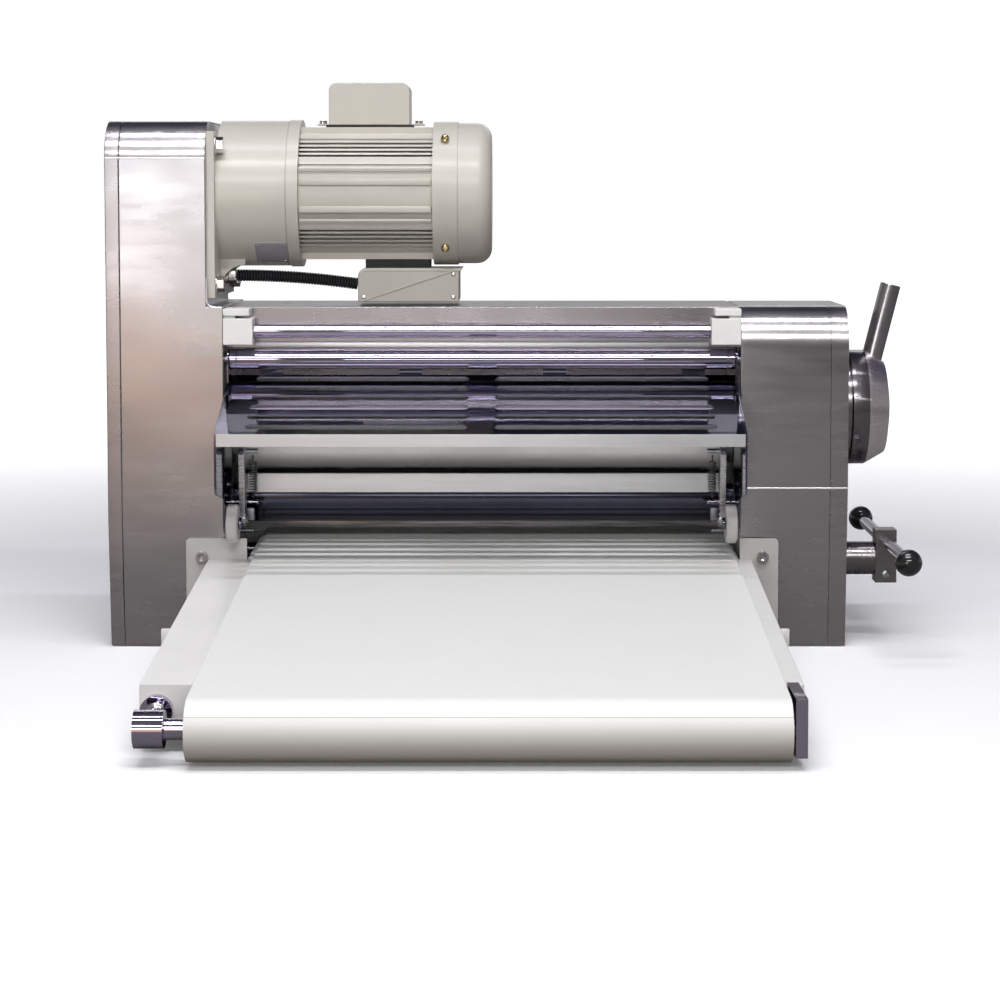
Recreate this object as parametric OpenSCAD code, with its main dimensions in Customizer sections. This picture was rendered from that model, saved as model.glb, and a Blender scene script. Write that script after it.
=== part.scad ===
// Bench-top dough sheeter with a motor-driven roller pair and an outfeed belt.
// Millimetres, +Z up, +X towards the gap dial, -Y towards the outfeed.
// X = 0 is half way between the housings, Y = 0 the plane of the roller axes, Z = 0 the table.

/* [Housings] */
// Clear width between the two housings
gap_w = 535; // [534:0.5:538]
// Depth of both housings, front to back
housing_d = 195; // [192:1:205]
// Height of the drive-side housing
drive_h = 548; // [546:1:570]
// Width of the drive-side housing below its step
drive_w = 120.5; // [119:0.5:126]
// Height of the dial-side housing
dial_h = 356; // [356:1:366]
// Width of the dial-side housing
dial_w = 111.5; // [110:0.5:118]
// Radius of the arched top corners
arch_r = 40; // [36:1:46]
// Thickness of the sheet-metal covers
sheet_t = 2; // [1.5:0.5:2.5]
// Thickness of the frame plates
plate_t = 17; // [15:0.5:18]

/* [Rollers] */
// Diameter of both sheeting rollers
roller_d = 56; // [54:1:57]
// Smallest gap between the sheeting rollers
nip_gap = 1.5; // [1:0.25:2]
// How far the upper roller lifts
lift = 5; // [3:0.5:5]
// Turn of the gap dial from the smallest to the largest gap, in degrees
dial_turn = 120; // [100:5:120]

/* [Conveyor] */
// Width of the belt
belt_w = 499; // [480:1:499]
// Thickness of the belt
belt_t = 2; // [1.5:0.5:2.5]
// Distance of the front roller's axis in front of the sheeting rollers
front_reach = 615; // [600:5:640]

/* [Guard] */
// Distance from the guard's pivot to its lip, along the slope
guard_len = 141; // [136:1:142]
// Slope of the guard below the horizontal, in degrees
guard_tilt = 20.4; // [19:0.1:21]
// Rows of slots
slot_rows = 6; // [3:1:6]

/* [Motor] */
// Radius of the gearbox
gearbox_r = 77; // [74:1:78]
// Height of the motor's axis
motor_z = 473; // [473:1:476]

/* [Hidden] */
$fn = 64;

steel = [0.62, 0.62, 0.64];
bright = [0.8, 0.8, 0.83];
dark_steel = [0.3, 0.3, 0.33];
cream = [0.86, 0.84, 0.78];
off_white = [0.9, 0.9, 0.87];
black = [0.07, 0.07, 0.08];
brass = [0.75, 0.65, 0.35];

fit = 0.05;             // radial clearance of a shaft in its bore
air = 0.4;              // clearance between parts that pass each other
side = gap_w / 2;       // inner face of each housing
front_y = -95;
back_y = front_y + housing_d;
base_setback = 12;      // how far the front leans back at the base
base_z = 1.5;           // lower edge of the sheet covers
deck_z = 8;             // underside of the base plate
deck_t = 8;
drive_bend_z = 132;     // height of the front's bend, drive side
dial_bend_z = 168;      // the same, dial side
drive_cover_x = -side - drive_w + 14.5;
dial_cover_x = side + dial_w - 18;
drive_out_x = -side - drive_w;
dial_out_x = side + dial_w;
step_z = 356;           // top of the drive housing's wider part
mount_x = -side - plate_t;

// roller axes, as [y, z]
lower_axis = [0, 149.5];
upper_axis = [0, lower_axis[1] + roller_d + nip_gap];
dial_axis = [-25, 247];
guard_axis = [-76, 301];
feed_axis = [-82, 330.6];
rear_axis = [70, 80.5];
knee_axis = [-95, 78.5];
front_axis = [-front_reach, 31];
output_axis = [0, 451];
motor_axis = [0, motor_z];
handle_axis = [-43, 87.8];
scraper_axis = [-70, 132];
disc_axis = [-115, 134];
disc_bore = 4;
gland_axis = [-10, 386];
upper_tie_axis = [73, 306];
lower_tie_axis = [84, 130];
cross_bar_axes = [[-300, 53], [-480, 42]];
bar_z = 106;            // height of the tommy bar
bar_r = 6.4;
cross_bar_r = 7;
bolt_axes = [for (y = [-72, 72], z = [-72, 72]) output_axis + [y, z]];
bolt_r = 5;

journal_r = 12.5;
gap_shaft_r = 7;
belt_left = -237;
belt_right = belt_left + belt_w;
rear_r = 24;            // belt's outer radius at the rear roller
knee_r = 20;
front_r = 27;
rail_h = 46;
rail_front_y = -565;
rail_end_y = front_y - 3.5;
rail_x = [belt_left - 0.6, belt_right + 0.6];
rail_back_y = 95;
stator_x = [-191.5, -52];
stator_r = 69.4;

// extrudes a [y, z] outline from x0 to x1
module along_x(x0, x1) {
    translate([x0, 0, 0]) rotate([90, 0, 90]) linear_extrude(x1 - x0) children();
}

module rod_x(axis, r, x0, x1) {
    translate([x0, axis[0], axis[1]]) rotate([0, 90, 0]) cylinder(r = r, h = x1 - x0);
}

module hex_x(axis, r, x0, x1) {
    translate([x0, axis[0], axis[1]]) rotate([0, 90, 0]) cylinder(r = r, h = x1 - x0, $fn = 6);
}

module rod_y(x, z, r, y0, y1) {
    translate([x, y0, z]) rotate([-90, 0, 0]) cylinder(r = r, h = y1 - y0);
}

module box(x, y, z) {
    translate([x[0], y[0], z[0]]) cube([x[1] - x[0], y[1] - y[0], z[1] - z[0]]);
}

module both_sides() {
    children();
    mirror([1, 0, 0]) children();
}

// points round a circle's centre c from angle a0 to a1
function arc(c, r, a0, a1, n = 18) =
    [for (i = [0:n]) let (a = a0 + (a1 - a0) * i / n) c + r * [cos(a), sin(a)]];

// a housing's side view, drawn in by inset all round and open below
module outline(h, bend_z, inset, base) {
    r = arch_r - inset;
    y0 = front_y + inset;
    y1 = back_y - inset;
    top = h - inset;
    polygon(concat(
        [[y0 + base_setback, base], [y0, bend_z]],
        arc([y0 + r, top - r], r, 180, 90), arc([y1 - r, top - r], r, 90, 0), [[y1, base]]
    ));
}

// the sheet that wraps a housing's front, top and back
module wrap(x0, x1, h, bend_z) {
    difference() {
        along_x(x0, x1) outline(h, bend_z, 0, base_z);
        along_x(x0 - 1, x1 + 1) outline(h, bend_z, sheet_t, base_z - 1);
    }
}

// a pan: face sheet at x_face, flange towards x_edge
module pan(x_face, x_edge, h, bend_z) {
    inward = sign(x_edge - x_face);
    x_in = x_face + inward * sheet_t;
    difference() {
        along_x(min(x_face, x_edge), max(x_face, x_edge)) outline(h, bend_z, 0, base_z);
        along_x(min(x_in, x_edge + inward), max(x_in, x_edge + inward))
            outline(h, bend_z, sheet_t, base_z + sheet_t);
    }
}

module base_plate() {
    color(dark_steel)
        box([drive_cover_x + 4, dial_cover_x - 4], [front_y + 30, back_y - 6], [deck_z, deck_z + deck_t]);
}

module rubber_feet() {
    color(black) {
        for (p = [[-330, -40], [330, -40], [-330, 70], [330, 70], [0, 0]])
            translate([p[0], p[1], 0]) cylinder(r = 19, h = deck_z);
        for (x = [[-281.5, rail_x[0] - 2.5], [rail_x[1] + 2.5, 276.5]]) box(x, [-510, -480], [0, 30]);
    }
}

// holes and the bearing window that both frame plates share
module plate_openings(x0, x1) {
    rod_x(lower_axis, 20, x0, x1);
    box([x0, x1], [-22, 22], [upper_axis[1] - 23, upper_axis[1] + 27]);
    rod_x(dial_axis, gap_shaft_r + fit, x0, x1);
    rod_x(guard_axis, 10, x0, x1);
    rod_x(rear_axis, 8 + fit, x0, x1);
}

module drive_frame_plate() {
    color(steel) difference() {
        union() {
            along_x(mount_x, -side) intersection() {
                outline(step_z + arch_r, drive_bend_z, sheet_t, 16);
                translate([front_y, 0]) square([housing_d, step_z - sheet_t]);
            }
            along_x(mount_x - 10, mount_x) intersection() {
                outline(drive_h, drive_bend_z, sheet_t, 16);
                translate([front_y, 275]) square([housing_d, drive_h]);
            }
        }
        plate_openings(mount_x - 20, -side + 1);
        rod_x(output_axis, 30, mount_x - 20, -side + 1);
        for (a = bolt_axes) rod_x(a, bolt_r, mount_x - 20, -side + 1);
        rod_x(gland_axis, 9, mount_x - 20, -side + 1);
    }
}

module dial_frame_plate() {
    color(steel) difference() {
        along_x(side, side + plate_t) outline(dial_h, dial_bend_z, sheet_t, 16);
        plate_openings(side - 1, side + plate_t + 1);
    }
}

module drive_shell() {
    color(steel) difference() {
        union() {
            wrap(drive_cover_x, -side, drive_h, drive_bend_z);
            box([mount_x, -side], [front_y + sheet_t, back_y - sheet_t], [step_z - sheet_t, step_z]);
        }
        box([mount_x, -side + 1], [front_y - 1, back_y + 1], [step_z, drive_h + 1]);
    }
}

module dial_shell() {
    color(steel) wrap(side, dial_cover_x, dial_h, dial_bend_z);
}

module drive_side_cover() {
    color(steel) pan(drive_out_x, drive_cover_x, drive_h, drive_bend_z);
}

module dial_side_cover() {
    color(steel) difference() {
        pan(dial_out_x, dial_cover_x, dial_h, dial_bend_z);
        rod_x(dial_axis, 9, dial_out_x - 9, dial_out_x + 1);
        rod_x(handle_axis, 9, dial_out_x - 9, dial_out_x + 1);
    }
}

module top_cover() {
    x = [-side, side];
    color(steel) {
        box(x, [-68, 85], [step_z - sheet_t - 1, step_z - 1]);
        box(x, [-68, -68 + sheet_t], [314, step_z - 2]);
        box(x, [-68, -60], [312, 314]);
        box(x, [85 - sheet_t, 85], [243, step_z - 2]);
    }
}

module tie_bars() {
    color(steel) {
        rod_x(upper_tie_axis, 9, -side, side);
        rod_x(lower_tie_axis, 8, -side, side);
        for (a = cross_bar_axes) rod_x(a, cross_bar_r, rail_x[0] - 4, rail_x[1]);
    }
}

module feed_bar_blocks() {
    color(off_white) both_sides() {
        difference() {
            box([side - 30.5, side], [front_y, -68], [317, 344]);
            rod_x(feed_axis, 7 + fit, side - 31, side - 12);
        }
        box([side - 27, side], [front_y, -68], [347, 354]);
        box([side - 12, side], [front_y + 4, -72], [344, 347]);
    }
}

// the plate that leads dough to the rollers, and the apron it is folded down into
module rear_feed_plate() {
    apron_y = back_y - 2;
    top = 231;
    color(steel) along_x(-side, side) polygon([
        [30, 182], [31.2, 180.4], [93.7, top - sheet_t], [apron_y - sheet_t, top - sheet_t],
        [apron_y - sheet_t, 20], [apron_y, 20], [apron_y, top], [93, top]
    ]);
}

module gearbox() {
    color(cream) difference() {
        union() {
            along_x(mount_x, mount_x + 8) translate([-86, output_axis[1] - 86]) square([172, 172]);
            rod_x(motor_axis, gearbox_r, mount_x + 8, stator_x[0] - 13);
            rod_x(motor_axis, gearbox_r + 1, stator_x[0] - 12, stator_x[0]);
            rod_x(motor_axis, gearbox_r - 1, stator_x[0] - 13, stator_x[0] - 12);
            // curved webs that stiffen the mounting flange
            for (y = [-30, 30]) translate([mount_x + 8, y - 4, 0]) rotate([90, 0, 0]) mirror([0, 0, 1])
                linear_extrude(8) polygon(concat(arc([26, 372], 26, 180, 90, 10), [[26, 440], [0, 440]]));
        }
        rod_x(motor_axis, gearbox_r - 8, mount_x + 16, stator_x[0] + 1);
        rod_x(output_axis, 12 + fit, mount_x - 1, mount_x + 17);
        rod_x(gland_axis, 9, mount_x - 1, mount_x + 9);
        for (a = bolt_axes) rod_x(a, bolt_r, mount_x - 1, mount_x + 9);
    }
}

// cooling slots run along the motor on its front and back
slot_heights = [for (i = [0:5]) 39 + 4.3 * i];
module stator_section() {
    difference() {
        union() {
            circle(stator_r);
            square([60, 2 * stator_r], center = true);
        }
        for (s = [-1, 1], z = slot_heights, side_sign = [-1, 1])
            translate([s * (30 + 30), side_sign * z]) square([45, 2], center = true);
        for (s = [-1, 1], z = [-29, 29]) translate([s * 68, z]) square([14, 2.4], center = true);
        circle(46);
    }
}

module motor_stator() {
    color(cream) along_x(stator_x[0], stator_x[1]) translate(motor_axis) stator_section();
}

// the two screws on the front of the end bell sit in pockets r wide
module bell_screws(r, y0) {
    for (s = [-1, 1]) rod_y(-39, motor_z + s * 57, r, y0, -49);
}

module motor_end_bell() {
    color(cream) difference() {
        rod_x(motor_axis, 76, stator_x[1], -26);
        rod_x(motor_axis, 8 + fit, stator_x[1] - 1, -25);
        bell_screws(4.5 + fit, -60);
    }
}

module fan_cover() {
    r = 74.5;
    round_r = 16;
    len = 35.5;
    wall = 2;
    color(cream) translate([-26, motor_axis[0], motor_axis[1]]) rotate([0, 90, 0]) difference() {
        rotate_extrude() {
            square([r - round_r, len]);
            square([r, len - round_r]);
            translate([r - round_r, len - round_r]) circle(round_r);
        }
        translate([0, 0, -1]) rotate_extrude() {
            square([r - round_r, len - wall + 1]);
            square([r - wall, len - round_r + 1]);
            translate([r - round_r, len - round_r + 1]) circle(round_r - wall);
        }
        for (i = [0:3]) for (k = [0:6 * (i + 1) - 1])
            rotate([0, 0, k * 60 / (i + 1)]) translate([13 * (i + 1), 0, len - 4]) cylinder(r = 3, h = 8);
    }
}

module capacitor_box() {
    color(cream) {
        translate([0, 28, 0]) rotate([90, 0, 0]) linear_extrude(56) {
            translate([-162, 545]) square([85, 36]);
            translate([-154, 581]) square([69, 8]);
            for (x = [-154, -85]) translate([x, 581]) circle(8);
        }
        box([-176, -62], [-9, 9], [545, 546.5]);
    }
}

module terminal_box() {
    color(cream) translate([0, 38, 0]) rotate([90, 0, 0]) linear_extrude(76)
        polygon(concat(
            [[-131.7, 358.5]], arc([-122.7, 385.5], 9, 180, 90), [[-21, 394.5], [-25, 390], [-25, 358.5]]
        ));
}

module box_gaskets() {
    color(black) {
        box([-165, -74], [-28, 28], [motor_z + stator_r, 545]);
        box([-124, -56], [-28, 28], [394.5, motor_z - stator_r]);
    }
}

// conduit bows gently downwards from the gland to the terminal box
conduit_r = 6.7;
conduit_bow = 913;
conduit_arc = 8.1;
module conduit() {
    color(black) translate([-262.4, gland_axis[0], gland_axis[1] - conduit_bow]) rotate([90, 0, 0])
        rotate([0, 0, 90 - conduit_arc]) rotate_extrude(angle = conduit_arc, $fn = 360)
            translate([conduit_bow, 0]) circle(conduit_r);
}

module conduit_glands() {
    color(bright) {
        rod_x(gland_axis, 8.6, mount_x - 12, mount_x + 14);
        hex_x(gland_axis, 10, mount_x + 14, mount_x + 22);
    }
}

module bolt_x(axis, r, x0, x1, head) {
    rod_x(axis, r, x0, x1);
    rod_x(axis, head + 1.5, x1, x1 + 1.5);
    hex_x(axis, head, x1 + 1.5, x1 + 8.5);
}

module motor_bolts() {
    color(bright) {
        for (a = bolt_axes) bolt_x(a, bolt_r - 0.1, mount_x - 14, mount_x + 8, 8.5);
        for (x = [-170, -68]) translate([x, 0, 546.5]) cylinder(r = 4, h = 3.5);
    }
    color(brass) bell_screws(4.5, -56);
}

module bushes() {
    color(brass) both_sides() {
        difference() {
            rod_x(lower_axis, 20, side, side + plate_t);
            rod_x(lower_axis, journal_r + fit, side - 1, side + plate_t + 1);
        }
        difference() {
            rod_x(guard_axis, 10, side, side + plate_t);
            rod_x(guard_axis, 6 + fit, side - 1, side + plate_t + 1);
        }
    }
}

module dial_ring() {
    color(steel) difference() {
        rod_x(dial_axis, 58, dial_out_x, dial_out_x + 6);
        rod_x(dial_axis, gap_shaft_r + fit, dial_out_x - 1, dial_out_x + 7);
    }
}

module handle_boss() {
    color(steel) difference() {
        rod_x(handle_axis, 17.5, dial_out_x, dial_out_x + 35);
        rod_x(handle_axis, 8 + fit, dial_out_x - 1, dial_out_x + 36);
    }
}

// height of the rail's top edge
function rail_top(y) = y > front_y ? 94.5 + (y - front_y) * 0.036 : 94.5 + (y - front_y) * 0.0777;

module rail_side(y0, y1, drop, h) {
    top0 = rail_top(y0);
    top1 = rail_top(y1);
    polygon([[y0, top0 - h], [y0, top0 - drop], [y1, top1 - drop], [y1, top1 - h]]);
}

// folded channel in front of the housings, open below
module rail_channel(x0, x1) {
    wall = 2.5;
    difference() {
        along_x(x0, x1) rail_side(rail_front_y, rail_end_y, 0, rail_h);
        along_x(x0 + wall, x1 - wall) rail_side(rail_front_y + wall, rail_end_y - wall, wall, rail_h + 1);
    }
}

module conveyor_rail_left() {
    color(off_white) difference() {
        union() {
            rail_channel(-284, rail_x[0]);
            along_x(rail_x[0] - 6, rail_x[0]) rail_side(rail_end_y, rail_back_y, 0, rail_h - 6);
        }
        rod_x(rear_axis, 8.6, rail_x[0] - 10, rail_x[0] + 1);
        for (a = cross_bar_axes) rod_x(a, cross_bar_r, rail_x[0] - 4, rail_x[0] + 1);
    }
}

module conveyor_rail_right() {
    color(off_white) difference() {
        union() {
            rail_channel(rail_x[1], 279);
            along_x(rail_x[1], side - 0.8) rail_side(rail_end_y, rail_back_y, 0, rail_h - 6);
        }
        rod_x(rear_axis, 8.6, 260, 270);
    }
}

// height of the slider bed's top, just under the belt's upper run
function bed_top(y) = 95.8 + (y - front_y) * (y > front_y ? 0.037 : 0.0775);
module slider_bed() {
    t = 3;
    lugs_x = [-200, 225];
    ys = [40, front_y, -580];
    color(steel) {
        along_x(belt_left + 3, belt_right - 3) polygon(concat(
            [for (y = ys) [y, bed_top(y)]], [for (i = [2:-1:0]) [ys[i], bed_top(ys[i]) - t]]
        ));
        for (a = cross_bar_axes, x = lugs_x) difference() {
            box([x, x + 4], [a[0] - 10, a[0] + 10], [a[1] - 8, bed_top(a[0]) - t + 1]);
            rod_x(a, cross_bar_r, x - 1, x + 5);
        }
    }
}

// an ear from x0 to x1, whose outer top corner at x1 is round
module ear(x0, x1) {
    out = sign(x1 - x0);
    r = 4;
    translate([0, front_y - 0.5, 0]) rotate([90, 0, 0]) linear_extrude(2.5) polygon(concat(
        [[x0, 10], [x1, 10]], arc([x1 - out * r, 116 - r], r, 90 - out * 90, 90, 6), [[x0, 116]]
    ));
}

ear_screw_x = 290.5;
ear_screw_z = 97;
module mounting_ears() {
    color(off_white) difference() {
        union() {
            ear(rail_x[0] - 6.4, -307);
            ear(side - 0.4, 307);
        }
        for (s = [-1, 1]) rod_y(s * ear_screw_x, ear_screw_z, 3.6, front_y - 4, front_y);
    }
}

module ear_screws() {
    color(bright) for (s = [-1, 1]) difference() {
        union() {
            rod_y(s * ear_screw_x, ear_screw_z, 3.5, front_y - 3, front_y + 1);
            rod_y(s * ear_screw_x, ear_screw_z, 6.2, front_y - 8.5, front_y - 3);
        }
        translate([s * ear_screw_x, front_y - 10, ear_screw_z]) rotate([-90, 0, 0])
            cylinder(r = 3.2, h = 4.5, $fn = 6);
    }
}

module belt_line(shrink) {
    hull() {
        translate(rear_axis) circle(rear_r - shrink, $fn = 96);
        translate(knee_axis) circle(knee_r - shrink, $fn = 96);
        translate(front_axis) circle(front_r - shrink, $fn = 96);
    }
}

module conveyor_belt() {
    color(off_white) along_x(belt_left, belt_right) difference() {
        belt_line(0);
        belt_line(belt_t);
    }
}

module take_up_blocks() {
    color(bright) {
        difference() {
            rod_x(front_axis, 16, -280.6, -255.7);
            rod_x(front_axis, 9 + fit, -281, -255);
        }
        difference() {
            rod_y(-269, 36, 6, front_axis[0] + 10, rail_front_y);
            rod_x(front_axis, 16, -281, -255);
        }
        rod_y(-269, 36, 14, rail_front_y - 9, rail_front_y);
    }
    color(dark_steel) difference() {
        box([264, 274], [front_axis[0] - 20, rail_front_y], [11, 60]);
        rod_x(front_axis, 9 + fit, 263, 275);
    }
}

module loop_belt(a, ra, b, rb, t) {
    difference() {
        hull() {
            translate(a) circle(ra + t, $fn = 72);
            translate(b) circle(rb + t, $fn = 72);
        }
        hull() {
            translate(a) circle(ra, $fn = 72);
            translate(b) circle(rb, $fn = 72);
        }
    }
}

main_pulley_r = 55;
output_pulley_r = 35;
step_pulley_r = 25.5;
tail_pulley_r = 20;

module drive_belts() {
    color(black) {
        along_x(-354, -344)
            loop_belt(lower_axis, main_pulley_r + air, output_axis, output_pulley_r + air, 6);
        along_x(-333, -325)
            loop_belt(lower_axis, step_pulley_r + air, rear_axis, tail_pulley_r + air, 5);
    }
}

spring_post = [-57, 149];
spring_eye = [-57, 203];
spring_x = 241.5;
arm_x = [247.8, 253.8];
module scraper_pins() {
    color(bright) both_sides() {
        rod_x(scraper_axis, 5, 246, side);
        rod_x(scraper_axis, 9, 255, 259);
        rod_x(spring_post, 2.5, 236, side);
    }
}

module lower_roller() {
    color(bright) {
        rod_x(lower_axis, roller_d / 2, -258, 258);
        rod_x(lower_axis, journal_r, -360, -258);
        rod_x(lower_axis, journal_r, 258, side + plate_t + 6);
    }
}

// long-toothed spur gear, turned by phase degrees
gear_teeth = 12;
gear_x = [-319, -305];
module spur_gear(axis, phase) {
    pitch_r = (upper_axis[1] - lower_axis[1]) / 2;
    m = 2 * pitch_r / gear_teeth;
    root_r = pitch_r - 1.3 * m;
    tip_r = pitch_r + m;
    along_x(gear_x[0], gear_x[1]) translate(axis) rotate(phase) difference() {
        union() {
            circle(root_r);
            for (k = [0:gear_teeth - 1]) rotate(k * 360 / gear_teeth) polygon([
                [root_r - 2, -3.9], [pitch_r, -2.9], [tip_r - 0.6, -1.4],
                [tip_r - 0.6, 1.4], [pitch_r, 2.9], [root_r - 2, 3.9]
            ]);
        }
        circle(journal_r);
    }
}

module lower_gear() { color(dark_steel) spur_gear(lower_axis, 0); }

module upper_gear() { color(dark_steel) spur_gear(upper_axis, 180 / gear_teeth); }

module pulley(axis, r, x0, x1, hole_r) {
    rim = 2;
    difference() {
        union() {
            rod_x(axis, r, x0, x1);
            rod_x(axis, r + 7, x0, x0 + rim);
            rod_x(axis, r + 7, x1 - rim, x1);
        }
        rod_x(axis, hole_r, x0 - 1, x1 + 1);
    }
}

module roller_pulleys() {
    color(dark_steel) {
        pulley(lower_axis, main_pulley_r, -358, -340, journal_r);
        pulley(lower_axis, step_pulley_r, -336, -322, journal_r);
    }
}

module bearing_blocks() {
    low = upper_axis[1] - 22.4;
    cam_pad_z = dial_axis[1] - cam_r - 0.5;
    color(dark_steel) both_sides() difference() {
        union() {
            box([side + 0.8, side + plate_t + 4], [-21.7, 21.7], [low, upper_axis[1] + 19]);
            box([side + plate_t + air, side + plate_t + 16], [-38, 21.7], [low, cam_pad_z]);
        }
        rod_x(upper_axis, journal_r + fit, side, side + plate_t + 20);
        box([side + plate_t, side + plate_t + 20], [-40, -20], [upper_axis[1] - 30, upper_axis[1] + 5]);
    }
}

// a compression or tension coil standing along Z, its ends closed into flat discs
module coil(r, wire, h, turns) {
    steps = 10;
    n = turns * steps;
    sides = 6;
    ring = [for (i = [0:n]) for (j = [0:sides - 1])
        let (a = 360 * i / steps, q = 360 * j / sides, w = r + wire * cos(q))
        [w * cos(a), w * sin(a), wire + (h - 2 * wire) * i / n + wire * sin(q)]];
    faces = [for (i = [0:n - 1]) for (j = [0:sides - 1])
        let (a = i * sides + j, b = i * sides + (j + 1) % sides) [a, b, b + sides, a + sides]];
    polyhedron(ring, concat(faces, [[for (j = [sides - 1:-1:0]) j]],
        [[for (j = [0:sides - 1]) n * sides + j]]), convexity = 8);
}

module lift_springs() {
    color(bright) for (x = [-side - plate_t - 8.2, side + plate_t + 8.2])
        translate([x, -30, upper_axis[1] - 34]) coil(5, 1, 38.5, 7);
}

module upper_roller() {
    color(bright) {
        rod_x(upper_axis, roller_d / 2, -258, 258);
        rod_x(upper_axis, journal_r, -321, -258);
        rod_x(upper_axis, journal_r, 258, side + plate_t + 19);
    }
}

module dial_knob() {
    x = dial_out_x + 7;
    color(steel) difference() {
        translate([x, dial_axis[0], dial_axis[1]]) rotate([0, 90, 0]) rotate_extrude($fn = 128)
            polygon([[0, 0], [60.5, 0], [60.5, 17], [48.5, 38], [30, 41.5], [0, 43]]);
        rod_x(dial_axis, gap_shaft_r, x - 1, dial_out_x + 22);
        lever_bar(0, 140);
    }
}

// the lever leans out of the dial and starts low above its axis
module lever_bar(low, len) {
    translate([dial_out_x + 20.3, dial_axis[0], dial_axis[1]]) rotate([0, 14, 0])
        translate([0, 0, 30 - low]) cylinder(r = 10.8, h = len);
}

module dial_lever() { color(steel) lever_bar(0, 104); }

// spiral cam: radius falls by lift over dial_turn degrees of turn
cam_r = 16;
function cam_radius(a) = cam_r - lift * min(1, max(0, a / dial_turn));
module gap_cam(x0) {
    n = 90;
    along_x(x0, x0 + 8) translate(dial_axis) difference() {
        polygon([for (i = [0:n - 1]) let (a = 360 * i / n - 60, q = a - 90)
            [cam_radius(a) * cos(q), cam_radius(a) * sin(q)]]);
        circle(gap_shaft_r);
    }
}

module gap_shaft() {
    color(bright) {
        rod_x(dial_axis, gap_shaft_r, -303, dial_out_x + 22);
        for (x = [-299, 291]) gap_cam(x);
    }
}

module guard_bar() {
    color(bright) difference() {
        union() {
            rod_x(guard_axis, 10.7, -262, 262);
            rod_x(guard_axis, 6, -side - 12, side + 12);
        }
        for (x = [-255.3, 254.5]) difference() {
            rod_x(guard_axis, 12, x, x + 0.8);
            rod_x(guard_axis, 10, x - 1, x + 2);
        }
    }
}

guard_top = [-70, 284];
guard_half = 264.5;
guard_t = 2;
slot_w = 11;
slot_x = [13.3, 235.5];
slope = guard_len * [cos(guard_tilt), sin(guard_tilt)];
guard_lip = guard_top - slope;
lip_h = 12.5;

// one slot with round ends, on the side s of the middle
module guard_slot(s, y) {
    r = slot_w / 2;
    translate([0, y, -9]) linear_extrude(20) polygon(concat(
        arc([s * (slot_x[0] + r), 0], r, 90, 90 + s * 180, 8),
        arc([s * (slot_x[1] - r), 0], r, 90 + s * 180, 90 + s * 360, 8)
    ));
}

// the folded sheet's section: the slope and the lip
module guard_section(t) {
    under = t * [sin(guard_tilt), -cos(guard_tilt)];
    inner = guard_top + under - slope * (1 + t * (sin(guard_tilt) - 1) / cos(guard_tilt) / guard_len);
    fold = [guard_lip + [0, -lip_h], guard_lip + [t, -lip_h]];
    polygon(concat([guard_top, guard_lip], fold, [inner, guard_top + under]));
}

module guard_panel() {
    color(steel) difference() {
        union() {
            along_x(guard_t - guard_half, guard_half - guard_t) guard_section(guard_t);
            // straps that join the panel to the bar, behind it
            for (x = [-220, -75, 75, 220]) along_x(x - 12, x + 12) translate(guard_axis)
                polygon([[2, -18.5], [7.5, -18.5], [13.5, -9], [13.5, 4], [8.5, 8.5], [5, 0]]);
        }
        rod_x(guard_axis, 10.75, -262, 262);
        translate([0, guard_top[0], guard_top[1]]) rotate([guard_tilt, 0, 0])
            for (i = [0:slot_rows - 1], s = [-1, 1]) guard_slot(s, -9.7 - 22.9 * i);
    }
}

module guard_side_plates() {
    color(steel) both_sides() along_x(guard_half - guard_t, guard_half) {
        polygon([
            guard_lip + [0, -lip_h], [-202, 180], [-198, 174], [-133, 161.5], [-133, 131], [-129, 125],
            [-119, 122], [-106, 122.5], [-96, 130], [-60, 200], [-62, 284], guard_top, guard_lip
        ]);
        difference() {
            union() {
                translate(guard_axis) circle(13);
                polygon([[-88, 270], [-62, 270], [-64, 301], [-88, 301]]);
            }
            translate(guard_axis) circle(10.7);
        }
    }
    // axle and head that carry each roller disc
    color(bright) both_sides() {
        rod_x(disc_axis, disc_bore, 248, guard_half);
        rod_x(disc_axis, 6.5, 247, 250.1);
    }
}

module guard_disc(x0, x1) {
    difference() {
        union() {
            rod_x(disc_axis, 20, x0 + 1, x1 - 1);
            rod_x(disc_axis, 18.8, x0, x1);
        }
        rod_x(disc_axis, disc_bore + fit, x0 - 1, x1 + 1);
    }
}

module guard_disc_left() { color(off_white) guard_disc(-262, -250.5); }

module guard_disc_right() { color(off_white) guard_disc(250.5, 262); }

module feed_bar() {
    color(bright) rod_x(feed_axis, 7, -side + 13, side - 13);
}

module scraper_blade() {
    color(steel) {
        box([-arm_x[0], arm_x[0]], [-47, -42], [158, 178]);
        along_x(-arm_x[0], arm_x[0]) polygon([[-42, 175.5], [-42, 178], [-24.6, 168], [-24.6, 167.4]]);
    }
}

module scraper_arms() {
    color(steel) both_sides() {
        difference() {
            union() {
                along_x(arm_x[0], arm_x[1]) polygon([
                    [-77, 132], [-84, 205], [-80, 208], [-56, 208], [-54, 200], [-66, 178],
                    [-42, 178], [-42, 158], [-61, 158], [-63, 132]
                ]);
                rod_x(scraper_axis, 9, arm_x[0], arm_x[1]);
            }
            rod_x(scraper_axis, 5 + fit, arm_x[0] - 1, arm_x[1] + 1);
        }
        rod_x(spring_eye, 2.5, 236, arm_x[0]);
    }
}

// tension springs hang between the arm's pin and the fixed post
module scraper_springs() {
    color(bright) both_sides() {
        translate([spring_x, spring_post[0], 158]) coil(4, 0.7, 35, 10);
        for (z = [157.3, 192]) translate([spring_x, spring_post[0], z]) cylinder(r = 4.6, h = 1.7);
        for (z = [152, 193]) translate([spring_x, spring_post[0], z]) cylinder(r = 1, h = 6.5);
    }
}

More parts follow.
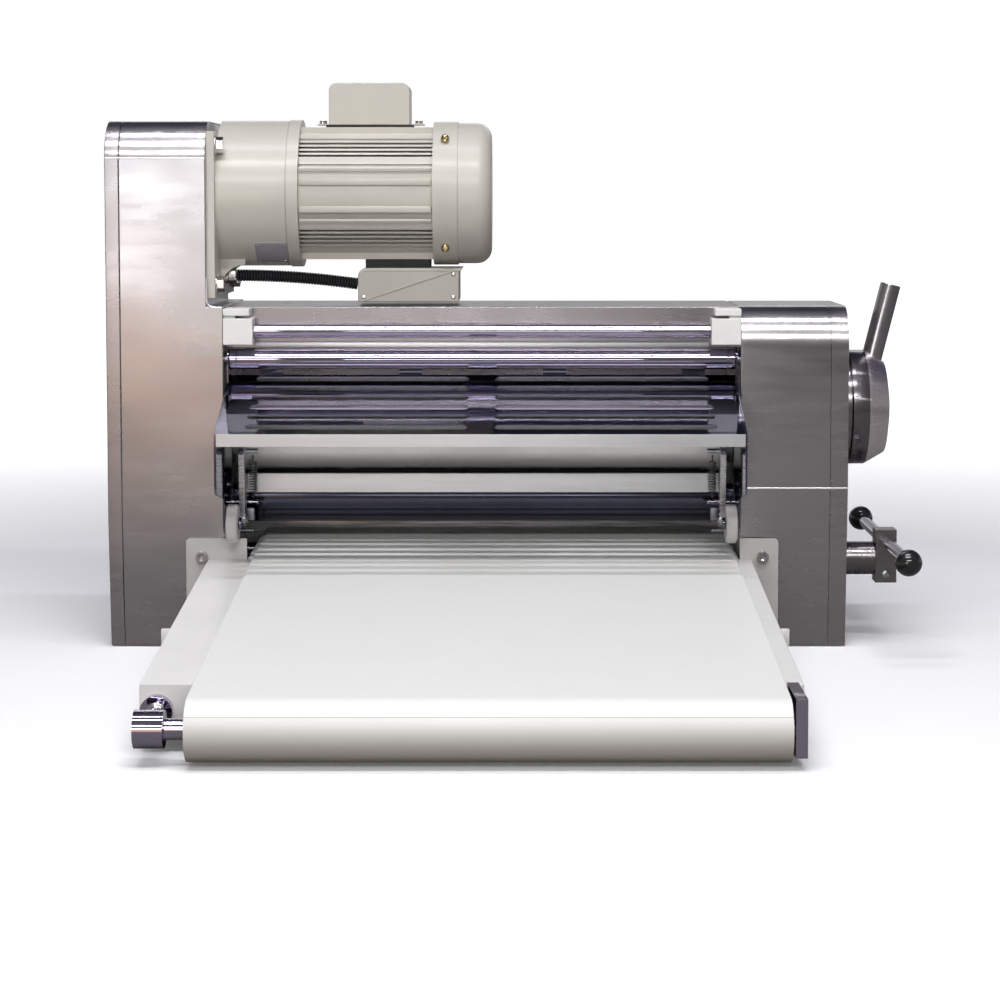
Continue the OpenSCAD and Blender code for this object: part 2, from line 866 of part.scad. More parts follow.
module belt_drive_roller() {
    color(bright) {
        rod_x(rear_axis, rear_r - belt_t - 0.3, belt_left + 5, belt_right - 5);
        rod_x(rear_axis, 8, -340, belt_left + 5);
        rod_x(rear_axis, 8, belt_right - 5, side + plate_t);
    }
    color(dark_steel) pulley(rear_axis, tail_pulley_r, -336, -322, 8);
}

module belt_front_roller() {
    color(bright) {
        rod_x(front_axis, front_r - belt_t - 0.3, belt_left + 5, belt_right - 5);
        rod_x(front_axis, 9, -279, belt_left + 5);
        rod_x(front_axis, 9, belt_right - 5, 273);
    }
}

module output_pulley() {
    color(dark_steel) pulley(output_axis, output_pulley_r, -358, -340, 12);
    color(bright) rod_x(output_axis, 12, -362, mount_x + 30);
}

module motor_rotor() {
    color(steel) {
        rod_x(motor_axis, 45.4, -170, -70);
        rod_x(motor_axis, 8, -220, -2);
    }
    color(black) {
        rod_x(motor_axis, 16, -23, -8);
        for (k = [0:5]) translate([-21, motor_axis[0], motor_axis[1]]) rotate([k * 60, 0, 0])
            translate([0, -1.5, 14]) cube([12, 3, 44]);
    }
}

module handle_block() {
    x = [dial_out_x + 35 + air, dial_out_x + 57.5];
    color(steel) difference() {
        union() {
            box(x, [handle_axis[0] - 12, handle_axis[0] + 12], [63, 119]);
            rod_x(handle_axis, 8, 320, x[0]);
        }
        rod_y(bar_x, bar_z, bar_r + fit, -60, -20);
        rod_y(bar_x, 72, 3.8, -60, -20);
    }
}

bar_x = dial_out_x + 46.8;
module tommy_bar() {
    color(bright) rod_y(bar_x, bar_z, bar_r, -196, 135);
}

module ball_knobs() {
    color(black) for (y = [-199, 138]) difference() {
        translate([bar_x, y, bar_z]) sphere(r = 13.5, $fn = 64);
        rod_y(bar_x, bar_z, bar_r, -196, 135);
    }
}

base_plate();
rubber_feet();
drive_frame_plate();
dial_frame_plate();
drive_shell();
dial_shell();
drive_side_cover();
dial_side_cover();
top_cover();
tie_bars();
feed_bar_blocks();
rear_feed_plate();
gearbox();
motor_stator();
motor_end_bell();
fan_cover();
capacitor_box();
terminal_box();
box_gaskets();
conduit();
conduit_glands();
motor_bolts();
bushes();
dial_ring();
handle_boss();
conveyor_rail_left();
conveyor_rail_right();
slider_bed();
mounting_ears();
ear_screws();
conveyor_belt();
take_up_blocks();
drive_belts();
scraper_pins();
lower_roller();
lower_gear();
roller_pulleys();
bearing_blocks();
lift_springs();
upper_roller();
upper_gear();
dial_knob();
dial_lever();
gap_shaft();
guard_bar();
guard_panel();
guard_side_plates();
guard_disc_left();
guard_disc_right();
feed_bar();
scraper_blade();
scraper_arms();
scraper_springs();
belt_drive_roller();
belt_front_roller();
output_pulley();
motor_rotor();
handle_block();
tommy_bar();
ball_knobs();
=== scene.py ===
"""Looks of the motor-driven dough sheeter: materials, detailed pieces, studio light and camera."""

import math

import bmesh
import bpy
from mathutils import Matrix, Vector

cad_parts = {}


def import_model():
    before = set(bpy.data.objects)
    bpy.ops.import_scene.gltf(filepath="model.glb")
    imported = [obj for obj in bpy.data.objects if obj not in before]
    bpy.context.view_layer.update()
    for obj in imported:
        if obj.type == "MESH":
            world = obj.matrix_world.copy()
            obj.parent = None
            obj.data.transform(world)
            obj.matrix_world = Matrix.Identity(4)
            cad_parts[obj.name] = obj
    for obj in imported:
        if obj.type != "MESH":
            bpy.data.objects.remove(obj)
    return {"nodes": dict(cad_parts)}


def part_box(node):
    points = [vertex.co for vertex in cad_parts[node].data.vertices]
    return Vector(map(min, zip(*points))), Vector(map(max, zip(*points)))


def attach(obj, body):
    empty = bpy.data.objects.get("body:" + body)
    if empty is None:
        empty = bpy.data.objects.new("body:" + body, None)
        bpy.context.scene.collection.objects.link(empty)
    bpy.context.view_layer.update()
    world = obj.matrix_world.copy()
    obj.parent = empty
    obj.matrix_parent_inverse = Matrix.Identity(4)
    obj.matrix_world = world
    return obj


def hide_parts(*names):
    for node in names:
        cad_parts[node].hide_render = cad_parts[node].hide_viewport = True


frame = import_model()
nodes = frame["nodes"]
scene = bpy.context.scene
MM = 0.001
# places in millimetres that several pieces share, as in part.scad
DIAL_AXIS = (-25, 247)  # y and z of the gap dial's axis
MOTOR_AXIS_Z = 473.0
BELT_NOSE = (-615, 31)  # y and z of the front roller's axis
BELT_NOSE_RADIUS = 27.0  # of the belt's outside round that roller


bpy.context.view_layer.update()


# ---------------------------------------------------------------- materials
class Shader:
    """A material's node tree, with short calls that add and join its nodes."""

    def __init__(self, name):
        self.mat = bpy.data.materials.new(name)
        self.mat.use_nodes = True
        self.tree = self.mat.node_tree
        self.bsdf = self.tree.nodes["Principled BSDF"]
        self.place = self.node("ShaderNodeTexCoord").outputs["Object"]

    def node(self, kind, **settings):
        made = self.tree.nodes.new(kind)
        for key, value in settings.items():
            setattr(made, key, value)
        return made

    def join(self, a, b):
        self.tree.links.new(a, b)

    def set(self, **values):
        for key, value in values.items():
            self.bsdf.inputs[key.replace("_", " ")].default_value = value

    def noise(self, scale, detail=4.0, roughness=0.55, stretch=(1, 1, 1)):
        """Noise over the object's own coordinates, stretch being the scale along each axis."""
        mapping = self.node("ShaderNodeMapping")
        mapping.inputs["Scale"].default_value = stretch
        self.join(self.place, mapping.inputs["Vector"])
        made = self.node("ShaderNodeTexNoise")
        made.inputs["Scale"].default_value = scale
        made.inputs["Detail"].default_value = detail
        made.inputs["Roughness"].default_value = roughness
        self.join(mapping.outputs["Vector"], made.inputs["Vector"])
        return made.outputs["Fac"]

    def remap(self, value, low, high, to_low, to_high):
        made = self.node("ShaderNodeMapRange")
        ends = {"From Min": low, "From Max": high, "To Min": to_low, "To Max": to_high}
        for key, number in ends.items():
            made.inputs[key].default_value = number
        self.join(value, made.inputs["Value"])
        return made.outputs["Result"]

    def math(self, operation, a, b):
        made = self.node("ShaderNodeMath", operation=operation)
        for socket, value in zip(made.inputs, (a, b)):
            if isinstance(value, (int, float)):
                socket.default_value = value
            else:
                self.join(value, socket)
        return made.outputs["Value"]

    def mix(self, fac, a, b):
        """A colour between a and b; each is a colour or another node's output."""
        made = self.node("ShaderNodeMix", data_type="RGBA")
        self.join(fac, made.inputs["Factor"])
        for socket, value in ((made.inputs[6], a), (made.inputs[7], b)):
            if isinstance(value, (tuple, list)):
                socket.default_value = (*value, 1.0)
            else:
                self.join(value, socket)
        return made.outputs[2]

    def colour(self, output):
        self.join(output, self.bsdf.inputs["Base Color"])

    def rough(self, output):
        self.join(output, self.bsdf.inputs["Roughness"])

    def bump(self, height, strength, distance):
        made = self.node("ShaderNodeBump")
        made.inputs["Strength"].default_value = strength
        made.inputs["Distance"].default_value = distance
        self.join(height, made.inputs["Height"])
        self.join(made.outputs["Normal"], self.bsdf.inputs["Normal"])


def shade(colour, factor):
    return tuple(min(1.0, c * factor) for c in colour)


def brushed(name, colour, rough, grain=(700, 700, 14), spread=0.10, depth=0.25, wave=0.0):
    """Ground sheet or bar, with the grain along the axis of the smallest scale.

    wave is the strength of the shallow dents in thin sheet, whose grain is soft and has no bump.
    """
    s = Shader(name)
    s.set(Metallic=1.0)
    detail, roughness = (1, 0.4) if wave else (5, 0.7)
    lines = s.noise(1.0, detail, roughness, grain)
    cloud = s.noise(7.0, 3, 0.5)
    tone = s.remap(lines, 0.3, 0.7, 0.0, 1.0)
    worn = s.mix(tone, shade(colour, 1 - 1.6 * spread), shade(colour, 1 + spread))
    s.colour(s.mix(s.remap(cloud, 0.35, 0.7, 0.0, 0.5), worn, shade(colour, 0.88)))
    s.rough(s.math("ADD", s.remap(lines, 0.25, 0.75, rough - spread, rough + spread),
                   s.remap(cloud, 0.3, 0.7, -0.04, 0.05)))
    if wave:
        s.bump(s.noise(5.5, 1, 0.4, (0.7, 1, 1.6)), wave, 0.004)
    else:
        s.bump(lines, depth, 0.00025)
    return s.mat


def polished(name, colour, rough=0.08, turned=(900, 6, 6), spread=0.05):
    """Ground and plated bar, with faint turning marks and finger marks."""
    s = Shader(name)
    s.set(Metallic=1.0)
    marks = s.noise(1.0, 3, 0.6, turned)
    smudge = s.noise(22.0, 4, 0.6)
    s.colour(s.mix(s.remap(smudge, 0.4, 0.75, 0.0, 1.0), colour, shade(colour, 0.9)))
    s.rough(s.math("ADD", s.remap(smudge, 0.35, 0.75, rough, rough + spread),
                   s.remap(marks, 0.2, 0.8, 0.0, 0.006)))
    return s.mat


def paint(name, colour, rough=0.34, peel=900.0, grime=0.10, coat=0.15):
    """Sprayed enamel: orange peel, slight unevenness and grime in patches."""
    s = Shader(name)
    s.set(Coat_Weight=coat, Coat_Roughness=0.2)
    fine = s.noise(peel, 2, 0.5)
    patch = s.noise(9.0, 5, 0.6)
    speck = s.noise(260.0, 2, 0.5)
    base = s.mix(s.remap(patch, 0.4, 0.75, 0.0, 1.0), colour, shade(colour, 1 - grime))
    s.colour(s.mix(s.remap(speck, 0.70, 0.78, 0.0, 0.35), base, shade(colour, 0.6)))
    s.rough(s.remap(patch, 0.3, 0.7, rough - 0.05, rough + 0.09))
    s.bump(fine, 0.12, 0.0002)
    return s.mat


def plastic(name, colour, rough=0.45, grain=1400.0, wear=0.08, depth=0.1, coat=0.0):
    """Moulded plastic or rubber with a fine grain."""
    s = Shader(name)
    s.set(Coat_Weight=coat, Coat_Roughness=0.05)
    fine = s.noise(grain, 3, 0.6)
    patch = s.noise(30.0, 4, 0.6)
    s.colour(s.mix(s.remap(patch, 0.4, 0.7, 0.0, 1.0), colour, shade(colour, 1 - wear)))
    s.rough(s.remap(patch, 0.3, 0.7, rough - 0.04, rough + 0.08))
    s.bump(fine, depth, 0.0002)
    return s.mat


def belting(name, colour):
    """Coated conveyor belt: a fine crossed weave shows through, with faint flour marks."""
    s = Shader(name)
    s.set(Sheen_Weight=0.1, Sheen_Roughness=0.5)
    waves = []
    for axis in ("X", "Y"):
        made = s.node("ShaderNodeTexWave", wave_type="BANDS", bands_direction=axis)
        made.inputs["Scale"].default_value = 330.0
        made.inputs["Distortion"].default_value = 0.4
        s.join(s.place, made.inputs["Vector"])
        waves.append(made.outputs["Fac"])
    weave = s.math("MULTIPLY", *waves)
    streak = s.noise(1.0, 4, 0.5, (14, 9, 9))
    speck = s.noise(420.0, 2, 0.5)
    base = s.mix(s.remap(streak, 0.4, 0.7, 0.0, 1.0), colour, shade(colour, 0.975))
    # the wrap round the front roller is painted darker, more so towards the floor: painted shade
    belt_painted_shade = (0.30, 0.26, 0.22)
    split = s.node("ShaderNodeSeparateXYZ")
    s.join(s.place, split.inputs[0])
    base = s.mix(s.remap(split.outputs["Z"], 6 * MM, 50 * MM, 0.9, 0.0), base, belt_painted_shade)
    s.colour(s.mix(s.remap(speck, 0.72, 0.8, 0.0, 0.25), base, shade(colour, 0.7)))
    s.rough(s.remap(streak, 0.3, 0.7, 0.42, 0.56))
    s.bump(s.math("ADD", weave, s.math("MULTIPLY", speck, 0.6)), 0.10, 0.0002)
    return s.mat


# base colours are tuned to the photo's brightness under the lights below, not measured
MATS = {
    "shell": brushed("stainless_shell", (0.47, 0.455, 0.46), 0.245, (22, 120, 120), 0.02, wave=0.50),
    "cover": brushed("stainless_cover", (0.30, 0.275, 0.28), 0.27, (14, 500, 500), 0.015, 0.01),
    "side": brushed("stainless_side", (0.44, 0.415, 0.42), 0.28, (22, 120, 120), 0.02, wave=0.25),
    "stainless": brushed("stainless_part", (0.56, 0.55, 0.56), 0.28, (14, 700, 700)),
    "blade": brushed("stainless_blade", (0.63, 0.63, 0.635), 0.36, (9, 900, 900), 0.06, 0.15),
    "turned": brushed("stainless_turned", (0.24, 0.225, 0.235), 0.24, (900, 12, 12), 0.04, 0.1),
    "dial_face": brushed("dial_face", (0.95, 0.88, 0.88), 0.30, (40, 300, 300), 0.04, 0.1),
    "lever": brushed("dial_lever_steel", (0.52, 0.50, 0.52), 0.24, (30, 300, 300), 0.04, 0.05),
    "block": brushed("handle_block_steel", (0.25, 0.24, 0.24), 0.26, (14, 700, 700), 0.04, 0.1),
    # light steel for folds and edges, much lighter than the sheets they belong to: a painted
    # highlight
    "hem": brushed("cover_hem", (0.88, 0.87, 0.88), 0.38, (9, 900, 900), 0.03, 0.05),
    "ink": plastic("engraved_line", (0.03, 0.03, 0.035), 0.5),
    "seam": plastic("belt_seam", (0.52, 0.51, 0.48), 0.5),
    "guard": polished("guard_sheet", (0.135, 0.135, 0.18), 0.045, (5, 400, 400), 0.008),
    "chrome": polished("chrome_bar", (0.42, 0.385, 0.48), 0.028, (900, 6, 6), 0.0),
    # pale enamel on the steel upper roller: a painted reflection of the bright belt below it
    "roller": paint("sheeting_roller_painted_reflection", (0.82, 0.81, 0.775), 0.22, 600.0, 0.04, 0.5),
    # near-black steel: on the lower roller a painted dark reflection, as it is the same chrome as
    # the upper roller
    "painted_shade_dark": polished("painted_shade_dark", (0.06, 0.06, 0.085), 0.12, (1100, 5, 5)),
    "bolt": polished("bolt_plate", (0.80, 0.76, 0.74), 0.16, (300, 300, 300), 0.1),
    "dark_steel": brushed("machined_steel", (0.20, 0.20, 0.22), 0.36, (500, 500, 500), 0.08, 0.3),
    "cream": paint("cream_enamel", (0.55, 0.525, 0.465)),
    "white_paint": paint("white_enamel", (0.72, 0.72, 0.695), 0.36, 900.0, 0.05),
    "ear_paint": paint("ear_enamel", (0.54, 0.525, 0.51), 0.36, 900.0, 0.05),
    # a darker copy of the cream enamel on the terminal box: painted shade under the motor
    "box_cream_painted_shade": paint("terminal_box_painted_shade", (0.46, 0.44, 0.39)),
    "white_plastic": plastic("white_block", (0.83, 0.83, 0.81), 0.42),
    "disc": plastic("disc_plastic", (0.55, 0.53, 0.515), 0.42),
    "belt": belting("belt_cover", (0.83, 0.83, 0.80)),
    "rubber": plastic("black_rubber", (0.018, 0.018, 0.02), 0.62, 900.0, 0.2, 0.3),
    "gloss": plastic("gloss_black", (0.012, 0.012, 0.013), 0.10, 400.0, 0.1, 0.02, 0.6),
    "conduit": plastic("conduit_black", (0.014, 0.014, 0.018), 0.42, 1200.0, 0.2, 0.1),
    "spring": polished("spring_wire", (0.16, 0.155, 0.16), 0.22, (300, 300, 300), 0.1),
    "brass": polished("brass_screw", (0.50, 0.40, 0.21), 0.2, (300, 300, 300), 0.1),
    "plate": plastic("blank_plate", (0.33, 0.33, 0.36), 0.35, 1800.0, 0.15, 0.15),
}

# the material of each CAD node
NODE_LOOK = {
    "shell": ["drive_shell", "dial_shell"],
    "cover": ["top_cover"],
    "side": ["drive_side_cover", "dial_side_cover"],
    "stainless": ["drive_frame_plate", "dial_frame_plate", "tie_bars", "rear_feed_plate",
                  "slider_bed", "scraper_arms"],
    "block": ["handle_block"],
    "blade": ["scraper_blade"],
    "turned": ["dial_ring", "handle_boss", "dial_knob"],
    "guard": ["guard_panel", "guard_side_plates"],
    "chrome": ["guard_bar", "feed_bar", "take_up_blocks", "belt_front_roller", "belt_drive_roller",
               "gap_shaft", "tommy_bar", "scraper_pins"],
    "roller": ["upper_roller"],
    "painted_shade_dark": ["lower_roller"],
    "lever": ["dial_lever", "ear_screws"],
    "bolt": ["motor_bolts", "conduit_glands", "lift_springs", "scraper_springs"],
    "dark_steel": ["base_plate", "lower_gear", "upper_gear", "roller_pulleys", "bearing_blocks",
                   "output_pulley", "motor_rotor"],
    "cream": ["gearbox", "motor_stator", "motor_end_bell", "fan_cover", "capacitor_box"],
    "box_cream_painted_shade": ["terminal_box"],
    "white_paint": ["conveyor_rail_left", "conveyor_rail_right"],
    "ear_paint": ["mounting_ears"],
    "white_plastic": ["feed_bar_blocks"],
    "disc": ["guard_disc_left", "guard_disc_right"],
    "belt": ["conveyor_belt"],
    "rubber": ["rubber_feet", "drive_belts", "box_gaskets"],
    "gloss": ["ball_knobs"],
    "conduit": ["conduit"],
    "brass": ["bushes"],
}
# the width of the rounded edges in millimetres, for the nodes whose edges aren't EDGE_ELSE wide
EDGE = {
    "drive_shell": 0.9, "dial_shell": 0.9, "drive_side_cover": 0.9, "dial_side_cover": 0.9,
    "top_cover": 0.8, "gearbox": 1.2, "motor_stator": 0.35, "motor_end_bell": 1.5, "fan_cover": 0.5,
    "capacitor_box": 2.5, "terminal_box": 1.6, "guard_panel": 0.35, "guard_side_plates": 0.35,
    "conveyor_rail_left": 0.9, "conveyor_rail_right": 0.9, "mounting_ears": 0.7,
    "feed_bar_blocks": 0.9, "guard_disc_left": 0.8, "guard_disc_right": 0.8, "dial_knob": 0.8,
    "dial_lever": 1.0, "handle_block": 0.8, "handle_boss": 0.8, "conveyor_belt": 0.5,
    "motor_bolts": 0.5, "ear_screws": 0.6, "take_up_blocks": 0.8,
}
EDGE_ELSE = 0.4
# flat faces with a hole in them keep their triangles, as a joined face would show its slit
PIERCED = {"dial_side_cover"}
# nodes that keep their CAD mesh as it is
PLAIN = {"lift_springs", "scraper_springs", "ball_knobs", "drive_belts", "motor_rotor"}


def soften(obj, width, join=True):
    """Welds a CAD mesh, joins its coplanar triangles if join is set, and rounds its edges.

    width is the rounding in millimetres.
    """
    weld = obj.modifiers.new("weld", "WELD")
    weld.merge_threshold = 1e-5
    if join:
        flat = obj.modifiers.new("flat", "DECIMATE")
        flat.decimate_type = "DISSOLVE"
        flat.angle_limit = math.radians(0.4)
    edge = obj.modifiers.new("edge", "BEVEL")
    edge.width = width * MM
    edge.segments = 2
    edge.limit_method = "ANGLE"
    edge.angle_limit = math.radians(32)
    edge.use_clamp_overlap = True
    normals = obj.modifiers.new("normals", "WEIGHTED_NORMAL")
    normals.keep_sharp = True


def dress_cad():
    for look, names in NODE_LOOK.items():
        for name in names:
            obj = nodes[name]
            obj.data.materials.clear()
            obj.data.materials.append(MATS[look])
            for face in obj.data.polygons:
                face.use_smooth = True
                face.material_index = 0
            if name not in PLAIN:
                soften(obj, EDGE.get(name, EDGE_ELSE), name not in PIERCED)
    # the guard's folded lip, on its faces towards the front, gets the brighter blade steel: a
    # painted highlight
    panel = nodes["guard_panel"].data
    panel.materials.append(MATS["blade"])
    for face in panel.polygons:
        if face.normal.y < -0.97:
            face.material_index = 1
    # and the straps up to the bar get the near-black steel: painted shade
    panel.materials.append(MATS["painted_shade_dark"])
    strap_above, strap_behind = 285 * MM, -73 * MM
    for face in panel.polygons:
        upright = abs(face.normal.z) < 0.9
        if face.center.z > strap_above or (face.center.y > strap_behind and upright):
            face.material_index = 2
    # the knob's flat outer face is brighter than its rim
    knob = nodes["dial_knob"].data
    knob.materials.append(MATS["dial_face"])
    for face in knob.polygons:
        if face.normal.x > 0.3:
            face.material_index = 1


# ---------------------------------------------------------------- mesh tools
def piece(name, bm, material, body, smooth_angle=35):
    """Makes a piece from bm, which is in millimetres, and rides it on a body."""
    bmesh.ops.recalc_face_normals(bm, faces=bm.faces)
    mesh = bpy.data.meshes.new(name)
    bm.to_mesh(mesh)
    bm.free()
    mesh.transform(Matrix.Scale(MM, 4))
    for face in mesh.polygons:
        face.use_smooth = True
    mesh.set_sharp_from_angle(angle=math.radians(smooth_angle))
    mesh.materials.append(MATS[material])
    obj = bpy.data.objects.new(name, mesh)
    scene.collection.objects.link(obj)
    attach(obj, body)
    return obj


def revolve(bm, profile, matrix, steps=24):
    """Turns profile, a list of (radius, height), about Z and places it by matrix."""
    rings = []
    for r, h in profile:
        if r < 1e-6:
            rings.append([bm.verts.new(matrix @ Vector((0, 0, h)))])
            continue
        turn = [2 * math.pi * i / steps for i in range(steps)]
        ring = [Vector((r * math.cos(a), r * math.sin(a), h)) for a in turn]
        rings.append([bm.verts.new(matrix @ point) for point in ring])
    for low, high in zip(rings, rings[1:]):
        for i in range(steps):
            j = (i + 1) % steps
            quad = [low[i % len(low)], low[j % len(low)], high[j % len(high)], high[i % len(high)]]
            unique = list(dict.fromkeys(quad))
            if len(unique) > 2:
                bm.faces.new(unique)


def place(x, y, z, direction):
    """A matrix that carries Z onto direction, at a point in millimetres."""
    turn = Vector(direction).to_track_quat("Z", "Y").to_matrix().to_4x4()
    return Matrix.Translation((x, y, z)) @ turn


def sweep(bm, path, radius, sides=12):
    """A closed round bar along path, whose radius is a number or a function of the step."""
    count = len(path)
    previous = None
    rings = []
    for i, point in enumerate(path):
        ahead = path[min(i + 1, count - 1)] - path[max(i - 1, 0)]
        ahead.normalize()
        if previous is None:
            side = ahead.orthogonal().normalized()
        else:
            side = (previous - ahead * previous.dot(ahead)).normalized()
        previous = side
        up = ahead.cross(side)
        r = radius(i) if callable(radius) else radius
        turn = [2 * math.pi * k / sides for k in range(sides)]
        ring = [point + side * (r * math.cos(a)) + up * (r * math.sin(a)) for a in turn]
        rings.append([bm.verts.new(corner) for corner in ring])
    for low, high in zip(rings, rings[1:]):
        for k in range(sides):
            j = (k + 1) % sides
            bm.faces.new((low[k], low[j], high[j], high[k]))
    bm.faces.new(list(reversed(rings[0])))
    bm.faces.new(rings[-1])


def limits(name):
    """The low and high corners of a CAD node, in millimetres."""
    return [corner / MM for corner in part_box(name)]


def bar(bm, x0, x1, y, z, r, sides=16):
    """A round bar along X with its centre line at y, z."""
    sweep(bm, [Vector((x0, y, z)), Vector(((x0 + x1) / 2, y, z)), Vector((x1, y, z))], r, sides)


def slab(bm, low, high, edge):
    """A box from low to high, its edges rounded by edge."""
    made = bmesh.ops.create_cube(bm, size=1.0)["verts"]
    for v in made:
        v.co = Vector((low[k] if v.co[k] < 0 else high[k]) for k in range(3))
    edges = list(dict.fromkeys(e for v in made for e in v.link_edges))
    bmesh.ops.bevel(bm, geom=edges, offset=edge, segments=2, affect="EDGES", profile=0.5)


def button_screw(bm, x, y, z, direction, r=4.2, h=2.4, socket=True):
    """Button-head screw of radius r and height h, with a round socket or a plain top."""
    matrix = place(x, y, z, direction)
    dome = [(r, 0.0), (r * 0.98, h * 0.35), (r * 0.82, h * 0.75), (r * 0.52, h)]
    if socket:
        dome += [(r * 0.46, h * 0.98), (r * 0.44, h * 0.35), (0, h * 0.3)]
    else:
        dome += [(0, h)]
    revolve(bm, [(0, 0.0)] + dome, matrix)


# ---------------------------------------------------------------- pieces
def scraper_springs():
    """Tension springs with hooks round the arms' pins and the fixed posts."""
    bm = bmesh.new()
    low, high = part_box("scraper_springs")
    z0, z1 = low.z / MM, high.z / MM
    turns, r, wire = 13, 3.9, 0.68
    hook, hook_height, coil_height = 2.4, 3.2, 6.4
    start, end = z0 + coil_height, z1 - coil_height
    for s in (-1, 1):
        x, y = s * 241.5, -57.0
        path = []
        for i in range(7):
            a = math.pi * (1.5 - i / 6 * 1.25)
            path.append(Vector((x, y + hook * math.cos(a), z0 + hook_height + hook * math.sin(a))))
        steps = turns * 16
        for i in range(steps + 1):
            a = 2 * math.pi * turns * i / steps
            grow = min(1.0, i / 10, (steps - i) / 10)
            z = start + (end - start) * i / steps
            path.append(Vector((x + r * grow * math.cos(a), y + r * grow * math.sin(a), z)))
        for i in range(7):
            a = math.pi * (-0.25 + i / 6 * 1.25)
            path.append(Vector((x, y + hook * math.cos(a), z1 - hook_height + hook * math.sin(a))))
        sweep(bm, path, wire, 8)
    made = piece("spring_pair", bm, "spring", "scraper", 60)
    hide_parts("scraper_springs")


def conduit():
    """Corrugated conduit that bows gently from its gland to the terminal box."""
    low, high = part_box("conduit")
    x0, x1 = low.x / MM + 0.6, high.x / MM - 0.3
    y = (low.y + high.y) / 2 / MM
    bow, top, start = 913.0, 386.0, -262.4  # the bow's radius, and its highest point's z and x
    ribs, valley, crest = 44, 5.0, 1.65
    steps = ribs * 6
    path = []
    radii = []
    for i in range(steps + 1):
        t = i / steps
        angle = (x0 + (x1 - x0) * t - start) / bow
        path.append(Vector((start + bow * math.sin(angle), y, top - bow + bow * math.cos(angle))))
        wave = abs(math.sin(math.pi * t * ribs)) ** 0.6
        radii.append(valley + crest * wave)
    bm = bmesh.new()
    sweep(bm, path, lambda i: radii[i], 20)
    made = piece("corrugated_conduit", bm, "conduit", "frame", 60)
    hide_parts("conduit")


def bend_lines():
    """Raised outside radii where the housings' front sheets are folded; they catch the light, and
    their light steel adds a painted highlight.
    """
    bm = bmesh.new()
    low = limits("dial_shell")[0]
    front, inset = low.y + 1.35, 0.6
    dial_fold, drive_fold = 168.0, 509.0
    bar(bm, low.x + inset, limits("dial_side_cover")[1].x - inset, front, dial_fold, 1.6)
    left, right = limits("drive_side_cover")[0].x, limits("gearbox")[0].x
    bar(bm, left + inset, right - inset, front, drive_fold, 1.5)
    piece("fold_lines", bm, "hem", "frame")


def cover_hem():
    """Folded hem along the top cover's lower front edge, in the light steel of a painted highlight.
    """
    bm = bmesh.new()
    low, high = limits("top_cover")
    inset, bottom, top = 31, 312.2, 319.2
    slab(bm, (low.x + inset, low.y - 1.6, bottom), (high.x - inset, low.y + 0.5, top), 0.8)
    piece("cover_hem", bm, "hem", "frame")


def cover_screws():
    """Screws of the side covers, sunk flush on the drive side, and of the terminal box's lid."""
    bm = bmesh.new()
    right = limits("dial_side_cover")[1].x
    left = limits("drive_side_cover")[0].x
    for y, z in ((-66, 40), (82, 40), (-70, 322), (76, 322), (5, 338)):
        button_screw(bm, right - 0.1, y, z, (1, 0, 0))
    for y, z in ((-66, 40), (82, 40), (-78, 300), (84, 300), (-66, 512), (70, 512)):
        button_screw(bm, left + 0.1, y, z, (-1, 0, 0), 4.2, 0.2, False)
    lid = limits("terminal_box")[0]
    for x, z in ((-125.5, 364), (-31, 364), (-31, 388)):
        button_screw(bm, x, lid.y + 0.1, z, (0, -1, 0), 2.6, 1.4)
    piece("cover_screws", bm, "bolt", "frame")


def terminal_lid():
    """Diagonal stiffening rib and the lid's joint on the terminal box."""
    bm = bmesh.new()
    low, high = limits("terminal_box")
    rib = ((-127.3, 359.6), (-76.5, 376.5), (-27.5, 392.6))
    joint_z = high.z - 3
    joint = ((low.x + 6.5, joint_z), (-70, joint_z), (-25.5, joint_z))
    sweep(bm, [Vector((x, low.y, z)) for x, z in rib], 0.9, 12)
    sweep(bm, [Vector((x, low.y, z)) for x, z in joint], 0.5, 10)
    piece("terminal_lid_rib", bm, "box_cream_painted_shade", "frame")


def rating_plate():
    """Blank plate bent round the gearbox, with its four rivets."""
    r = 77.0  # the gearbox's drum
    x0, x1, a0, a1 = -238.0, -205.0, math.radians(222), math.radians(249)
    half = ((0, r - 0.3), (0, r + 0.5), (0.4, r + 0.7))
    section = [(x0 + inset, height) for inset, height in half]
    section += [(x1 - inset, height) for inset, height in reversed(half)]
    bm = bmesh.new()
    steps = 10
    rows = []
    for i in range(steps + 1):
        a = a0 + (a1 - a0) * i / steps
        ring = [(x, rr * math.cos(a), MOTOR_AXIS_Z + rr * math.sin(a)) for x, rr in section]
        rows.append([bm.verts.new(corner) for corner in ring])
    for low, high in zip(rows, rows[1:]):
        for k in range(len(section) - 1):
            bm.faces.new((low[k], low[k + 1], high[k + 1], high[k]))
    bm.faces.new(rows[0])
    bm.faces.new(list(reversed(rows[-1])))
    piece("blank_plate", bm, "plate", "frame")
    bm = bmesh.new()
    seat, inset, turn = r + 0.6, 3, 0.04
    for x in (x0 + inset, x1 - inset):
        for a in (a0 + turn, a1 - turn):
            direction = (0, math.cos(a), math.sin(a))
            y, z = seat * math.cos(a), MOTOR_AXIS_Z + seat * math.sin(a)
            button_screw(bm, x, y, z, direction, 1.3, 0.7, False)
    piece("plate_rivets", bm, "bolt", "frame")


def motor_details():
    """Raised bands along the motor's front and the brass screws of its end bell."""
    bm = bmesh.new()
    low, high = limits("motor_stator")
    x0, x1 = low.x + 1.0, high.x - 1.0
    for z in (456.3, 484.6):
        slab(bm, (x0, low.y - 1.5, z - 3.6), (x1, low.y + 1.0, z + 3.6), 1.3)
    for z in (444.9, 498.2):
        slab(bm, (x0, low.y - 1.0, z - 1.3), (x1, low.y + 1.5, z + 1.3), 0.7)
    piece("motor_bands", bm, "cream", "frame")
    bm = bmesh.new()
    for z in (416.0, 530.0):
        button_screw(bm, -39, -55.9, z, (0, -1, 0), 4.4, 2.4)
    piece("bell_screws", bm, "brass", "frame")


